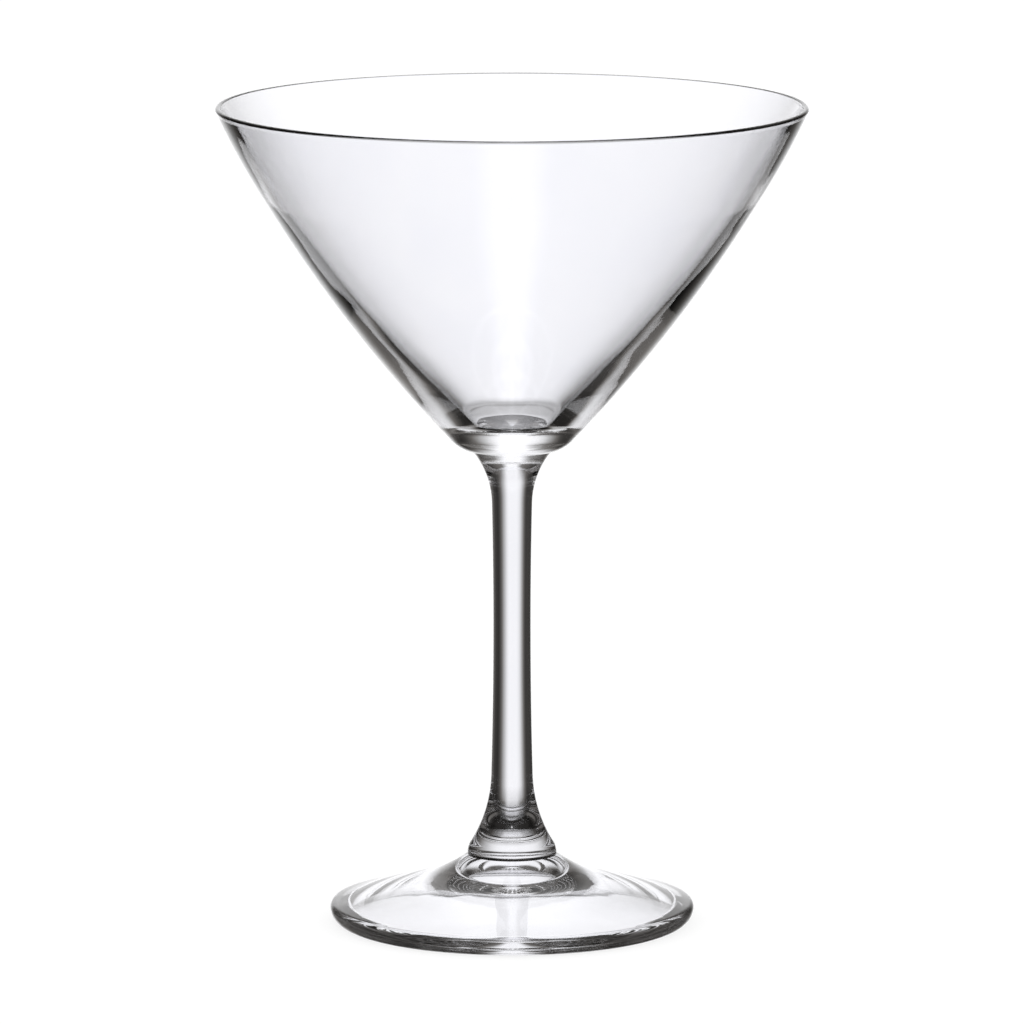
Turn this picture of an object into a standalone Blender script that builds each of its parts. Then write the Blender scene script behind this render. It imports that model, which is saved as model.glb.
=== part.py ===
"""Martini glass: a wide bulged cone of a bowl on a slim drawn stem and a low round foot.

It is three pieces of clear crystal, fused end to end: the bowl, the stem and the foot.
Every piece is turned about the Z axis. Units are metres and +Z is up. The origin is on
the axis, in the plane that the foot stands on.
"""
import math

import bpy
from mathutils import Vector

# ---------------------------------------------------------------- driving dimensions

HEIGHT = 0.1638
RIM_RADIUS = 0.0585
LIP_WALL = 0.0012

# The bowl's outer wall: the lip, a shoulder where it passes into the long wall, the
# root where it turns in over the solid base, and the weld to the stem.
SHOULDER_RADIUS = 0.0488
SHOULDER_HEIGHT = 0.1454
ROOT_RADIUS = 0.0125
ROOT_HEIGHT = 0.0978
UPPER_WELD_RADIUS = 0.0079
UPPER_WELD_HEIGHT = 0.0951

# The bowl's inner wall: it falls in one bulged curve, faster than the outside does, so
# the wall thickens towards the base, and turns through a tight corner into a flat floor.
CORNER_TOP_RADIUS = 0.0106
CORNER_TOP_HEIGHT = 0.1031
CORNER_END_RADIUS = 0.0091
CORNER_END_HEIGHT = 0.1023
FLOOR_HEIGHT = 0.1018

# The stem: flared under the bowl, slimmest at the waist, flared again to its knuckle.
WAIST_TOP_RADIUS = 0.0040
WAIST_TOP_HEIGHT = 0.0845
WAIST_END_RADIUS = 0.00415
WAIST_END_HEIGHT = 0.0298
KNUCKLE_RADIUS = 0.0085
KNUCKLE_HEIGHT = 0.0158
LOWER_WELD_RADIUS = 0.0089
LOWER_WELD_HEIGHT = 0.0138

# The foot: it flares from the weld into a shallow cone with a rounded edge and stands on
# a flat ring. The hollow underneath follows the cone, with a deeper push-up in the middle.
FLARE_END_RADIUS = 0.0185
FLARE_END_HEIGHT = 0.0089
FOOT_EDGE_TOP_RADIUS = 0.03575
FOOT_EDGE_TOP_HEIGHT = 0.0041
FOOT_RADIUS = 0.0363
FOOT_WIDEST_HEIGHT = 0.0030
STANDING_RING_OUTER = 0.0335
STANDING_RING_INNER = 0.0315
HOLLOW_MIDDLE_RADIUS = 0.0155
HOLLOW_MIDDLE_HEIGHT = 0.0054
PUSH_UP_RADIUS = 0.0090
PUSH_UP_FOOT_HEIGHT = 0.0066
PUSH_UP_TOP_HEIGHT = 0.0100

# Welded pieces are kept this far apart, half of it on each side of the weld.
WELD_GAP = 0.0003

SECTORS = 64

# ---------------------------------------------------------------- outlines

# An outline runs from the top of a piece's outer side down. A stop is (radius, height),
# and between two stops goes an arc with a bend: its rise over half its chord. A positive
# bend bulges away from the axis on the way down, and zero is straight.


def arc(start, end, bend, spans):
    """Points after start up to end, evenly spaced on the arc between them."""
    if bend == 0:
        return [end]
    chord = Vector(end) - Vector(start)
    sweep = 4 * math.atan(bend)
    radius = chord.length / (2 * math.sin(sweep / 2))
    to_left = Vector((-chord.y, chord.x)).normalized()
    middle = (Vector(start) + Vector(end)) / 2
    centre = middle - to_left * radius * math.cos(sweep / 2)
    spoke = Vector(start) - centre
    points = []
    for step in range(1, spans + 1):
        angle = -sweep * step / spans
        turned = Vector((
            spoke.x * math.cos(angle) - spoke.y * math.sin(angle),
            spoke.x * math.sin(angle) + spoke.y * math.cos(angle),
        ))
        points.append((centre + turned)[:])
    return points


def outline(first, *legs):
    """All the points of an outline: first, and then one arc for each leg."""
    points = [first]
    for end, bend, spans in legs:
        points += arc(points[-1], end, bend, spans)
    return points


def bowl_outline():
    lip_height = HEIGHT - LIP_WALL / 2
    inner_lip = (RIM_RADIUS - LIP_WALL, lip_height)
    outer_lip = (RIM_RADIUS, lip_height)
    weld_height = UPPER_WELD_HEIGHT + WELD_GAP / 2
    return outline(
        (0, FLOOR_HEIGHT),
        ((CORNER_END_RADIUS, CORNER_END_HEIGHT), -0.03, 3),
        ((CORNER_TOP_RADIUS, CORNER_TOP_HEIGHT), -0.10, 3),
        (inner_lip, -0.085, 11),
        (outer_lip, 1.0, 6),
        ((SHOULDER_RADIUS, SHOULDER_HEIGHT), 0.036, 4),
        ((ROOT_RADIUS, ROOT_HEIGHT), 0.053, 8),
        ((UPPER_WELD_RADIUS, weld_height), 0.19, 5),
        ((0, weld_height), 0, 1),
    )


def stem_outline():
    top_height = UPPER_WELD_HEIGHT - WELD_GAP / 2
    bottom_height = LOWER_WELD_HEIGHT + WELD_GAP / 2
    return outline(
        (0, top_height),
        ((UPPER_WELD_RADIUS, top_height), 0, 1),
        ((WAIST_TOP_RADIUS, WAIST_TOP_HEIGHT), -0.17, 7),
        ((WAIST_END_RADIUS, WAIST_END_HEIGHT), -0.013, 5),
        ((KNUCKLE_RADIUS, KNUCKLE_HEIGHT), -0.138, 7),
        ((LOWER_WELD_RADIUS, bottom_height), 0.10, 3),
        ((0, bottom_height), 0, 1),
    )


def foot_outline():
    top_height = LOWER_WELD_HEIGHT - WELD_GAP / 2
    return outline(
        (0, top_height),
        ((LOWER_WELD_RADIUS, top_height), 0, 1),
        ((FLARE_END_RADIUS, FLARE_END_HEIGHT), -0.085, 5),
        ((FOOT_EDGE_TOP_RADIUS, FOOT_EDGE_TOP_HEIGHT), 0, 1),
        ((FOOT_RADIUS, FOOT_WIDEST_HEIGHT), 0.23, 3),
        ((STANDING_RING_OUTER, 0), 0.39, 6),
        ((STANDING_RING_INNER, 0), 0, 1),
        ((HOLLOW_MIDDLE_RADIUS, HOLLOW_MIDDLE_HEIGHT), -0.05, 4),
        ((PUSH_UP_RADIUS, PUSH_UP_FOOT_HEIGHT), -0.02, 2),
        ((0, PUSH_UP_TOP_HEIGHT), -0.18, 6),
    )


# ---------------------------------------------------------------- pieces


def clear_parts(scene_objects):
    for item in list(scene_objects):
        bpy.data.objects.remove(item, do_unlink=True)


def crystal(name, colour):
    material = bpy.data.materials.new(name)
    material.use_nodes = True
    shader = material.node_tree.nodes["Principled BSDF"]
    shader.inputs["Base Color"].default_value = (*colour, 1.0)
    shader.inputs["Roughness"].default_value = 0.02
    shader.inputs["Metallic"].default_value = 0.0
    shader.inputs["IOR"].default_value = 1.52
    shader.inputs["Transmission Weight"].default_value = 1.0
    return material


def turned_piece(name, points, material, collection):
    """A solid of revolution: the outline, spun about Z by a Screw modifier."""
    mesh = bpy.data.meshes.new(name)
    corners = [(radius, 0.0, height) for radius, height in points]
    edges = [(index, index + 1) for index in range(len(corners) - 1)]
    mesh.from_pydata(corners, edges, [])
    mesh.materials.append(material)
    piece = bpy.data.objects.new(name, mesh)
    collection.objects.link(piece)
    screw = piece.modifiers.new("turn", "SCREW")
    screw.axis = "Z"
    screw.angle = math.tau
    screw.steps = SECTORS
    screw.render_steps = SECTORS
    screw.use_merge_vertices = True
    screw.merge_threshold = 0.00001
    screw.use_smooth_shade = True
    return piece


def main():
    clear_parts(bpy.data.objects)
    glass = bpy.data.collections.new("martini_glass")
    bpy.context.scene.collection.children.link(glass)
    turned_piece("bowl", bowl_outline(), crystal("bowl_glass", (0.97, 0.975, 0.98)), glass)
    turned_piece("stem", stem_outline(), crystal("stem_glass", (0.96, 0.965, 0.975)), glass)
    turned_piece("foot", foot_outline(), crystal("foot_glass", (0.96, 0.965, 0.975)), glass)


main()
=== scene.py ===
"""Looks of the martini glass: fine turned crystal in the frame's place, in a light tent.

Metres, +Z up. Three turned pieces stand for the three CAD nodes: the bowl, the stem and
the foot. They are fused glass, so their surfaces meet edge to edge at the two welds and
there are no faces inside the glass.

The glass sees only the tent, whose light changes with direction. The floor and the room
are left out of what it reflects and bends.
"""
import math

import bmesh
import bpy
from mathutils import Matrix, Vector


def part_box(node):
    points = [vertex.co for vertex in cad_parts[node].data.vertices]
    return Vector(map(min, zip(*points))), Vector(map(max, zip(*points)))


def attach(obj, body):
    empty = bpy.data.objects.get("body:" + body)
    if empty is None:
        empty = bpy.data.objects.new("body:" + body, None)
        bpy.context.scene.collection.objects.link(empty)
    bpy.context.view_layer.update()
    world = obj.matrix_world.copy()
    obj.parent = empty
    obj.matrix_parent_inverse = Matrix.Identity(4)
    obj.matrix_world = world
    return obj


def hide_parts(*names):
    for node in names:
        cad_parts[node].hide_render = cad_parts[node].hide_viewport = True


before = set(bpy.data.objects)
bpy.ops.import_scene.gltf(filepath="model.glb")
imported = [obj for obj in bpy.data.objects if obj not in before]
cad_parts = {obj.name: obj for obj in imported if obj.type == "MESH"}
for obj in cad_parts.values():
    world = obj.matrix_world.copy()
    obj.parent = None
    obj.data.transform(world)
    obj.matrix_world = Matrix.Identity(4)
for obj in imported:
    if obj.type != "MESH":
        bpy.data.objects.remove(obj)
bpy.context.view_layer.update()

# ---------------------------------------------------------------- sizes, from the frame

BOWL_LOW, BOWL_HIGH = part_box("bowl")
STEM_LOW, STEM_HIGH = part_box("stem")
FOOT_LOW, FOOT_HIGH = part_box("foot")

HEIGHT = BOWL_HIGH[2]
RIM_RADIUS = BOWL_HIGH[0]
FOOT_RADIUS = FOOT_HIGH[0]
UPPER_WELD_HEIGHT = (BOWL_LOW[2] + STEM_HIGH[2]) / 2
LOWER_WELD_HEIGHT = (STEM_LOW[2] + FOOT_HIGH[2]) / 2
LOWER_WELD_RADIUS = STEM_HIGH[0]

# Stops of the outlines between those, as (radius, height).
LIP_WALL = 0.0012
SHOULDER = (0.0488, 0.1454)
ROOT = (0.0125, 0.0978)
UPPER_WELD = (0.0079, UPPER_WELD_HEIGHT)
CORNER_TOP = (0.0106, 0.1031)
CORNER_END = (0.0091, 0.1023)
FLOOR_MIDDLE = (0, 0.1018)

WAIST_TOP = (0.0040, 0.0845)
WAIST_END = (0.00415, 0.0298)
KNUCKLE = (0.0085, 0.0158)
LOWER_WELD = (LOWER_WELD_RADIUS, LOWER_WELD_HEIGHT)

FLARE_END = (0.0185, 0.0089)
FOOT_EDGE_TOP = (0.03575, 0.0041)
FOOT_WIDEST = (FOOT_RADIUS, 0.0030)
RING_OUTER = (0.0335, 0)
RING_INNER = (0.0315, 0)
HOLLOW_MIDDLE = (0.0155, 0.0054)
PUSH_UP_FOOT = (0.0090, 0.0066)
PUSH_UP_TOP = (0, 0.0100)

# ---------------------------------------------------------------- outlines

SECTORS = 256
SPAN = 0.0005
STEEPEST_TURN = math.radians(6)


def arc(start, end, bend):
    """Points after start up to end, on the arc whose rise over half its chord is bend."""
    start = Vector(start)
    end = Vector(end)
    chord = end - start
    spans = max(2, math.ceil(chord.length / SPAN))
    if bend == 0:
        return [start.lerp(end, step / spans)[:] for step in range(1, spans + 1)]
    sweep = 4 * math.atan(bend)
    radius = chord.length / (2 * math.sin(sweep / 2))
    to_left = Vector((-chord.y, chord.x)).normalized()
    centre = (start + end) / 2 - to_left * radius * math.cos(sweep / 2)
    spoke = start - centre
    spans = max(spans, math.ceil(abs(sweep) / STEEPEST_TURN))
    points = []
    for step in range(1, spans + 1):
        angle = -sweep * step / spans
        turned = Vector((
            spoke.x * math.cos(angle) - spoke.y * math.sin(angle),
            spoke.x * math.sin(angle) + spoke.y * math.cos(angle),
        ))
        points.append((centre + turned)[:])
    return points


def outline(first, *legs):
    """All the points of an outline: first, and then one arc for each leg."""
    points = [first]
    for end, bend in legs:
        points += arc(points[-1], end, bend)
    return points


def bowl_outline():
    lip_height = HEIGHT - LIP_WALL / 2
    return outline(
        FLOOR_MIDDLE,
        (CORNER_END, -0.03),
        (CORNER_TOP, -0.10),
        ((RIM_RADIUS - LIP_WALL, lip_height), -0.085),
        ((RIM_RADIUS, lip_height), 1.0),
        (SHOULDER, 0.036),
        (ROOT, 0.053),
        (UPPER_WELD, 0.19),
    )


def stem_outline():
    return outline(
        UPPER_WELD,
        (WAIST_TOP, -0.17),
        (WAIST_END, -0.013),
        (KNUCKLE, -0.138),
        (LOWER_WELD, 0.10),
    )


def foot_outline():
    return outline(
        LOWER_WELD,
        (FLARE_END, -0.085),
        (FOOT_EDGE_TOP, 0),
        (FOOT_WIDEST, 0.23),
        (RING_OUTER, 0.39),
        (RING_INNER, 0),
        (HOLLOW_MIDDLE, -0.05),
        (PUSH_UP_FOOT, -0.02),
        (PUSH_UP_TOP, -0.18),
    )


# ---------------------------------------------------------------- turned meshes


def turned_mesh(name, points):
    """The outline spun about Z. An end of the outline on the axis closes to one point."""
    places = []
    rings = []
    for radius, height in points:
        if radius < 1e-7:
            rings.append([len(places)])
            places.append((0, 0, height))
            continue
        rings.append(range(len(places), len(places) + SECTORS))
        for sector in range(SECTORS):
            angle = math.tau * sector / SECTORS
            places.append((radius * math.cos(angle), radius * math.sin(angle), height))
    faces = []
    for upper, lower in zip(rings, rings[1:]):
        for sector in range(SECTORS):
            after = (sector + 1) % SECTORS
            corners = [
                upper[sector % len(upper)],
                lower[sector % len(lower)],
                lower[after % len(lower)],
                upper[after % len(upper)],
            ]
            faces.append(list(dict.fromkeys(corners)))
    mesh = bpy.data.meshes.new(name)
    mesh.from_pydata(places, [], faces)
    mesh.shade_smooth()
    return mesh


def glass_piece(name, points, material, node):
    mesh = turned_mesh(name, points)
    mesh.materials.append(material)
    piece = bpy.data.objects.new(name, mesh)
    bpy.context.scene.collection.objects.link(piece)
    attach(piece, "root")
    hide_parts(node)


# ---------------------------------------------------------------- crystal

INDEX = 1.52

# The two ends of each glass's change of tint. The thick pieces look greyer.
THIN_GLASS = ((0.985, 0.985, 1.0, 1), (0.965, 0.967, 0.99, 1))
THICK_GLASS = ((0.86, 0.86, 0.885, 1), (0.83, 0.832, 0.86, 1))

# Waves per metre, and how many times longer the waves are along Z. Depths are in metres.
BOWL_CORDS = (90.0, 4.0)
STEM_CORDS = (220.0, 10.0)
FOOT_CORDS = (130.0, 1.0)
SKIN_WAVES = (500.0, 1.0)
CLOUD_WAVES = (70.0, 1.5)
SMOOTHEST = 0.0
DULLEST = 0.012
CORD_DEPTH = 0.00006
POLISH_DEPTH = 0.000001


def noise(tree, place, waves, detail):
    """Noise over the piece. The waves are how many to a metre, and the stretch along Z."""
    scale, stretch = waves
    squeeze = tree.nodes.new("ShaderNodeMapping")
    squeeze.inputs["Scale"].default_value = (1, 1, 1 / stretch)
    tree.links.new(place, squeeze.inputs["Vector"])
    texture = tree.nodes.new("ShaderNodeTexNoise")
    texture.inputs["Scale"].default_value = scale
    texture.inputs["Detail"].default_value = detail
    tree.links.new(squeeze.outputs["Vector"], texture.inputs["Vector"])
    return texture.outputs["Fac"]


def spread(tree, value, low, high):
    """The middle of a noise spread over low to high."""
    node = tree.nodes.new("ShaderNodeMapRange")
    node.inputs["From Min"].default_value = 0.3
    node.inputs["From Max"].default_value = 0.7
    node.inputs["To Min"].default_value = low
    node.inputs["To Max"].default_value = high
    tree.links.new(value, node.inputs["Value"])
    return node.outputs["Result"]


def raised(tree, height, depth, under=None):
    """A bump of the given depth in metres, on top of the bump under it."""
    node = tree.nodes.new("ShaderNodeBump")
    node.inputs["Strength"].default_value = 1.0
    node.inputs["Distance"].default_value = depth
    tree.links.new(height, node.inputs["Height"])
    if under is not None:
        tree.links.new(under, node.inputs["Normal"])
    return node.outputs["Normal"]


def crystal(name, tints, cord_waves):
    """Fire-polished crystal: soft cords from the drawing or pressing, and a finer skin."""
    material = bpy.data.materials.new(name)
    material.use_nodes = True
    tree = material.node_tree
    shader = tree.nodes["Principled BSDF"]
    shader.inputs["IOR"].default_value = INDEX
    shader.inputs["Transmission Weight"].default_value = 1.0

    place = tree.nodes.new("ShaderNodeTexCoord").outputs["Object"]
    cords = noise(tree, place, cord_waves, 1.0)
    skin = noise(tree, place, SKIN_WAVES, 1.0)
    cloud = noise(tree, place, CLOUD_WAVES, 3.0)

    colour = tree.nodes.new("ShaderNodeMix")
    colour.data_type = "RGBA"
    colour.inputs["A"].default_value = tints[0]
    colour.inputs["B"].default_value = tints[1]
    tree.links.new(spread(tree, cloud, 0.0, 1.0), colour.inputs["Factor"])
    tree.links.new(colour.outputs["Result"], shader.inputs["Base Color"])
    tree.links.new(spread(tree, cloud, SMOOTHEST, DULLEST), shader.inputs["Roughness"])
    wavy = raised(tree, cords, CORD_DEPTH)
    tree.links.new(raised(tree, skin, POLISH_DEPTH, wavy), shader.inputs["Normal"])
    return material


# ---------------------------------------------------------------- studio

CAMERA_PLACE = (0, -1.8153, 0.3774)
CAMERA_PITCH = math.radians(9.22)
CAMERA_LENS = 325.8

# The brightness of the room and of the tent's brightest part. Pure white is 1.
ROOM_WHITE = 1.08
TENT_WHITE = 1.18
FLOOR_SIZE = 30
FLOOR_COLOUR = 0.2
FLOOR_GLOW = 0.84
TENT_RADIUS = 4.0

# The tent's light as (degrees, level). WALL_LIGHT and TABLE_LIGHT go round from the middle
# of the back wall, with the right positive. ROOF_LIGHT goes sideways off the middle line.
# ROOF_END dims it from the back wall (0) over the top (90) to the camera (180).
WALL_LIGHT = (
    (-180, 0.12), (-125, 0.15), (-105, 0.17), (-85, 0.14), (-65, 0.07), (-50, 0.04),
    (-35, 0.05), (-31, 0.09), (-27, 0.21), (-24, 0.36), (-21, 0.54), (-19, 0.70),
    (-16, 0.84), (-13, 0.94), (-9, 1.0), (6, 1.0), (9, 0.93), (11, 0.84), (13, 0.73),
    (15, 0.61), (18, 0.46), (20, 0.34), (23, 0.21), (26, 0.12), (30, 0.06), (35, 0.03),
    (50, 0.06), (67, 0.24), (90, 0.19), (108, 0.14), (180, 0.12),
)
ROOF_LIGHT = (
    (-90, 0.12), (-35, 0.08), (-16, 0.25), (-7, 1.0), (7, 1.0), (16, 0.25), (35, 0.08),
    (90, 0.12),
)
ROOF_END = ((0, 1.0), (130, 1.0), (150, 0.15), (180, 0.15))
TABLE_LIGHT = (
    (-180, 0.02), (-15, 0.02), (-8, 0.60), (8, 0.60), (13, 0.02), (180, 0.02),
)

# These go by the angle above the middle of the tent: how far the table is dimmed, and
# where the wall gives way to the table below and to the roof above.
TABLE_DEPTH = (
    (-90, 1.0), (-60, 1.0), (-52, 0.05), (-43, 0.05), (-37, 0.9), (0, 0.9),
)
TABLE_SHARE = ((-90, 1.0), (-26, 1.0), (-22, 0.7), (-18, 0.35), (-10, 0.0), (90, 0.0))
ROOF_SHARE = ((-90, 0.0), (22, 0.0), (45, 1.0), (90, 1.0))

# The tent's colour by its level: the dim parts are a little warm, the bright part cool.
TENT_COLOURS = (
    (0.0, (0.0, 0.0, 0.0)), (0.2, (0.150, 0.142, 0.133)), (0.6, (0.54, 0.54, 0.54)),
    (1.0, (0.99, 0.99, 1.0)),
)


def glow(tree, strength):
    """The tree's only shader: light of the given strength."""
    tree.nodes.clear()
    light = tree.nodes.new("ShaderNodeEmission")
    light.inputs["Strength"].default_value = strength
    out = tree.nodes.new("ShaderNodeOutputMaterial")
    tree.links.new(light.outputs["Emission"], out.inputs["Surface"])
    return light


def calc(tree, operation, first, second=None):
    """A Math node on one or two values, each a number or a socket."""
    node = tree.nodes.new("ShaderNodeMath")
    node.operation = operation
    for socket, value in zip(node.inputs, (first, second)):
        if isinstance(value, (int, float)):
            socket.default_value = value
        elif value is not None:
            tree.links.new(value, socket)
    return node.outputs["Value"]


def degrees(tree, opposite, adjacent):
    angle = calc(tree, "ARCTAN2", opposite, adjacent)
    return calc(tree, "MULTIPLY", angle, 180 / math.pi)


def length(tree, first, second):
    squares = [calc(tree, "MULTIPLY", side, side) for side in (first, second)]
    return calc(tree, "SQRT", calc(tree, "ADD", *squares))


def ramp(tree, value, stops):
    """The stops' grey level or colour at the value, straight between the stops."""
    low = stops[0][0]
    high = stops[-1][0]
    share = tree.nodes.new("ShaderNodeMapRange")
    share.inputs["From Min"].default_value = low
    share.inputs["From Max"].default_value = high
    tree.links.new(value, share.inputs["Value"])
    node = tree.nodes.new("ShaderNodeValToRGB")
    elements = node.color_ramp.elements
    elements.remove(elements[0])
    for index, (where, level) in enumerate(stops):
        at = (where - low) / (high - low)
        element = elements.new(at) if index else elements[0]
        element.position = at
        colour = level if isinstance(level, tuple) else (level, level, level)
        element.color = (*colour, 1)
    tree.links.new(share.outputs["Result"], node.inputs["Fac"])
    return node.outputs["Color"]


def blend(tree, first, second, share):
    """From the first value to the second as the share goes from 0 to 1."""
    rest = calc(tree, "SUBTRACT", 1.0, share)
    parts = (calc(tree, "MULTIPLY", first, rest), calc(tree, "MULTIPLY", second, share))
    return calc(tree, "ADD", *parts)


def tent_material():
    """The tent's light by direction from its middle, in its own axes.

    It hangs on the camera, so -Z is the back wall, +X the right and +Y the roof.
    """
    material = bpy.data.materials.new("tent_light")
    material.use_nodes = True
    material.cycles.emission_sampling = "NONE"
    tree = material.node_tree
    light = glow(tree, TENT_WHITE)
    place = tree.nodes.new("ShaderNodeTexCoord")
    split = tree.nodes.new("ShaderNodeSeparateXYZ")
    tree.links.new(place.outputs["Object"], split.inputs["Vector"])
    x, y, z = split.outputs
    back = calc(tree, "MULTIPLY", z, -1)

    round_wall = degrees(tree, x, back)
    height = degrees(tree, y, length(tree, x, z))
    off_middle = degrees(tree, x, length(tree, y, z))
    over_roof = degrees(tree, y, back)

    wall = ramp(tree, round_wall, WALL_LIGHT)
    roof_end = ramp(tree, over_roof, ROOF_END)
    roof = calc(tree, "MULTIPLY", ramp(tree, off_middle, ROOF_LIGHT), roof_end)
    table_depth = ramp(tree, height, TABLE_DEPTH)
    table = calc(tree, "MULTIPLY", ramp(tree, round_wall, TABLE_LIGHT), table_depth)
    low = blend(tree, wall, table, ramp(tree, height, TABLE_SHARE))
    level = blend(tree, low, roof, ramp(tree, height, ROOF_SHARE))
    tree.links.new(ramp(tree, level, TENT_COLOURS), light.inputs["Color"])
    return material


def stage_piece(name, mesh, material, unseen):
    """A studio piece that the named kinds of ray pass by."""
    mesh.materials.append(material)
    piece = bpy.data.objects.new(name, mesh)
    bpy.context.scene.collection.objects.link(piece)
    for ray in unseen:
        setattr(piece, "visible_" + ray, False)
    return piece


def make_camera():
    data = bpy.data.cameras.new("camera")
    data.lens = CAMERA_LENS
    data.sensor_width = 36
    data.clip_start = 0.01
    data.clip_end = 20
    camera = bpy.data.objects.new("camera", data)
    camera.location = CAMERA_PLACE
    camera.rotation_euler = (math.pi / 2 - CAMERA_PITCH, 0, 0)
    bpy.context.scene.collection.objects.link(camera)
    bpy.context.scene.camera = camera
    return camera


def make_world():
    world = bpy.data.worlds.new("white_room")
    world.use_nodes = True
    background = world.node_tree.nodes["Background"]
    background.inputs["Color"].default_value = (1, 1, 1, 1)
    background.inputs["Strength"].default_value = ROOM_WHITE
    bpy.context.scene.world = world


def make_floor():
    """White paper, lit from below so that it takes only a faint shadow."""
    mesh = bpy.data.meshes.new("floor")
    shape = bmesh.new()
    bmesh.ops.create_grid(shape, x_segments=1, y_segments=1, size=FLOOR_SIZE)
    shape.to_mesh(mesh)
    shape.free()
    paper = bpy.data.materials.new("floor_paper")
    paper.use_nodes = True
    shader = paper.node_tree.nodes["Principled BSDF"]
    shader.inputs["Base Color"].default_value = (FLOOR_COLOUR, FLOOR_COLOUR, FLOOR_COLOUR, 1)
    shader.inputs["Emission Color"].default_value = (1, 1, 1, 1)
    shader.inputs["Emission Strength"].default_value = FLOOR_GLOW
    shader.inputs["Roughness"].default_value = 1.0
    shader.inputs["Specular IOR Level"].default_value = 0.0
    stage_piece("floor", mesh, paper, ("transmission", "glossy"))


def make_tent(camera):
    """A light tent all round the glass, carried by the camera, which stays in front."""
    mesh = bpy.data.meshes.new("light_tent")
    shape = bmesh.new()
    bmesh.ops.create_uvsphere(shape, u_segments=64, v_segments=32, radius=TENT_RADIUS)
    shape.to_mesh(mesh)
    shape.free()
    unseen = ("camera", "diffuse", "shadow", "volume_scatter")
    tent = stage_piece("light_tent", mesh, tent_material(), unseen)
    tent.parent = camera
    tent.location = (0, 0, -Vector(CAMERA_PLACE).length)


def set_light_paths():
    scene = bpy.context.scene
    scene.view_settings.view_transform = "Standard"
    scene.cycles.max_bounces = 40
    scene.cycles.transmission_bounces = 40
    scene.cycles.glossy_bounces = 24
    scene.cycles.transparent_max_bounces = 24


bowl_glass = crystal("bowl_glass", THIN_GLASS, BOWL_CORDS)
stem_glass = crystal("stem_glass", THICK_GLASS, STEM_CORDS)
foot_glass = crystal("foot_glass", THICK_GLASS, FOOT_CORDS)
glass_piece("bowl_crystal", bowl_outline(), bowl_glass, "bowl")
glass_piece("stem_crystal", stem_outline(), stem_glass, "stem")
glass_piece("foot_crystal", foot_outline(), foot_glass, "foot")
make_world()
make_floor()
make_tent(make_camera())
set_light_paths()
